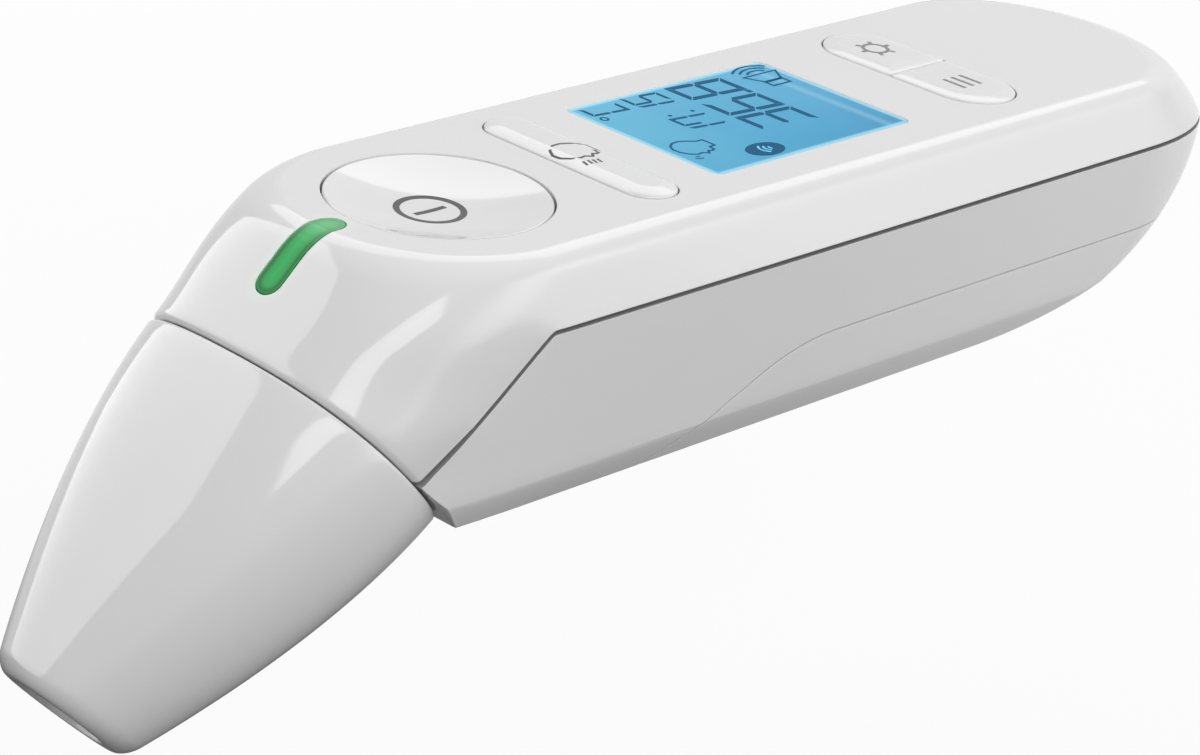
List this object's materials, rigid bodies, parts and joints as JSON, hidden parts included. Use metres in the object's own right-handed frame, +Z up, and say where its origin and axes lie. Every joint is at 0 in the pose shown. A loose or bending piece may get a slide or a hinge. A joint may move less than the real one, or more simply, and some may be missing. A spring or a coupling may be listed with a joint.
{
  "type": "infrared ear thermometer",
  "caption": "Hand-held infrared ear and forehead thermometer: glossy two-part case, backlit display, keys, status light and a pull-off forehead cap over the ear probe.",
  "frame": {"origin": "on the flat underside, directly below the centre of the display", "axes": "+X towards the tail, the nose points to -X and down, +Z up out of the display face, Y across"},
  "size_m": [0.1549, 0.036, 0.0463],
  "materials": {
    "gloss_white_plastic": "high-gloss moulded white",
    "green_light_guide": "translucent green, gloss",
    "clear_window": "clear, polished",
    "lcd_glass": "blue liquid-crystal panel",
    "backlight_plate": "frosted light plate",
    "grey_plastic": "fine matte",
    "black_plastic": "matte black",
    "circuit_board": "solder-masked board",
    "flex_film": "amber film",
    "steel": "turned",
    "nickel_strip": "plated strip",
    "cell_jacket": "printed jacket",
    "silicone": "soft matte"
  },
  "bodies": {
    "case": {"upper_housing": "gloss_white_plastic", "lower_housing": "gloss_white_plastic", "probe_collar": "gloss_white_plastic", "probe_cone": "gloss_white_plastic", "light_guide": "green_light_guide", "display_window": "clear_window", "status_led": "clear_window", "lcd_panel": "lcd_glass", "backlight_plate": "backlight_plate", "display_tray": "grey_plastic", "sensor_window": "grey_plastic", "power_switch": "black_plastic", "mode_switch": "black_plastic", "memory_switch": "black_plastic", "set_switch": "black_plastic", "controller_chip": "black_plastic", "buzzer": "black_plastic", "cap_switch": "black_plastic", "main_board": "circuit_board", "sensor_cable": "flex_film", "sensor_barrel": "steel", "thermopile_sensor": "steel", "case_screw_1": "steel", "case_screw_2": "steel", "case_screw_3": "steel", "case_screw_4": "steel", "contact_positive": "nickel_strip", "contact_negative": "nickel_strip", "contact_bridge": "nickel_strip", "cell_1": "cell_jacket", "cell_2": "cell_jacket", "probe_seal": "silicone"},
    "cap": {"forehead_cap": "gloss_white_plastic"},
    "cap_pin": {"cap_plunger": "grey_plastic"},
    "door": {"battery_door": "gloss_white_plastic"},
    "power_key": {"power_button": "gloss_white_plastic"},
    "mode_key": {"mode_button": "gloss_white_plastic"},
    "memory_key": {"memory_button": "gloss_white_plastic"},
    "set_key": {"set_button": "gloss_white_plastic"},
    "power_stem": {"power_switch_stem": "grey_plastic"},
    "mode_stem": {"mode_switch_stem": "grey_plastic"},
    "memory_stem": {"memory_switch_stem": "grey_plastic"},
    "set_stem": {"set_switch_stem": "grey_plastic"}
  },
  "joints": [
    {"name": "cap_pull", "type": "slide", "parent": "case", "child": "cap", "axis": [-0.7547, 0, -0.6561], "range_m": [0, 0.045]},
    {"name": "cap_pin_rise", "type": "slide", "parent": "case", "child": "cap_pin", "axis": [-0.726, 0, -0.6877], "range_m": [0, 0.0009]},
    {"name": "door_slide", "type": "slide", "parent": "case", "child": "door", "axis": [1, 0, 0], "range_m": [0, 0.096]},
    {"name": "power_press", "type": "slide", "parent": "case", "child": "power_key", "axis": [0, 0, -1], "range_m": [0, 0.0005]},
    {"name": "power_stem_press", "type": "slide", "parent": "case", "child": "power_stem", "axis": [0, 0, -1], "range_m": [0, 0.00025]},
    {"name": "mode_press", "type": "slide", "parent": "case", "child": "mode_key", "axis": [0, 0, -1], "range_m": [0, 0.0005]},
    {"name": "mode_stem_press", "type": "slide", "parent": "case", "child": "mode_stem", "axis": [0, 0, -1], "range_m": [0, 0.00025]},
    {"name": "memory_press", "type": "slide", "parent": "case", "child": "memory_key", "axis": [0, 0, -1], "range_m": [0, 0.0005]},
    {"name": "memory_stem_press", "type": "slide", "parent": "case", "child": "memory_stem", "axis": [0, 0, -1], "range_m": [0, 0.00025]},
    {"name": "set_press", "type": "slide", "parent": "case", "child": "set_key", "axis": [0, 0, -1], "range_m": [0, 0.0005]},
    {"name": "set_stem_press", "type": "slide", "parent": "case", "child": "set_stem", "axis": [0, 0, -1], "range_m": [0, 0.00025]}
  ],
  "couplings": [
    {"joint": "cap_pin_rise", "follows": "cap_pull", "ratio": 0.02},
    {"joint": "power_stem_press", "follows": "power_press", "ratio": 0.5},
    {"joint": "mode_stem_press", "follows": "mode_press", "ratio": 0.5},
    {"joint": "memory_stem_press", "follows": "memory_press", "ratio": 0.5},
    {"joint": "set_stem_press", "follows": "set_press", "ratio": 0.5}
  ]
}
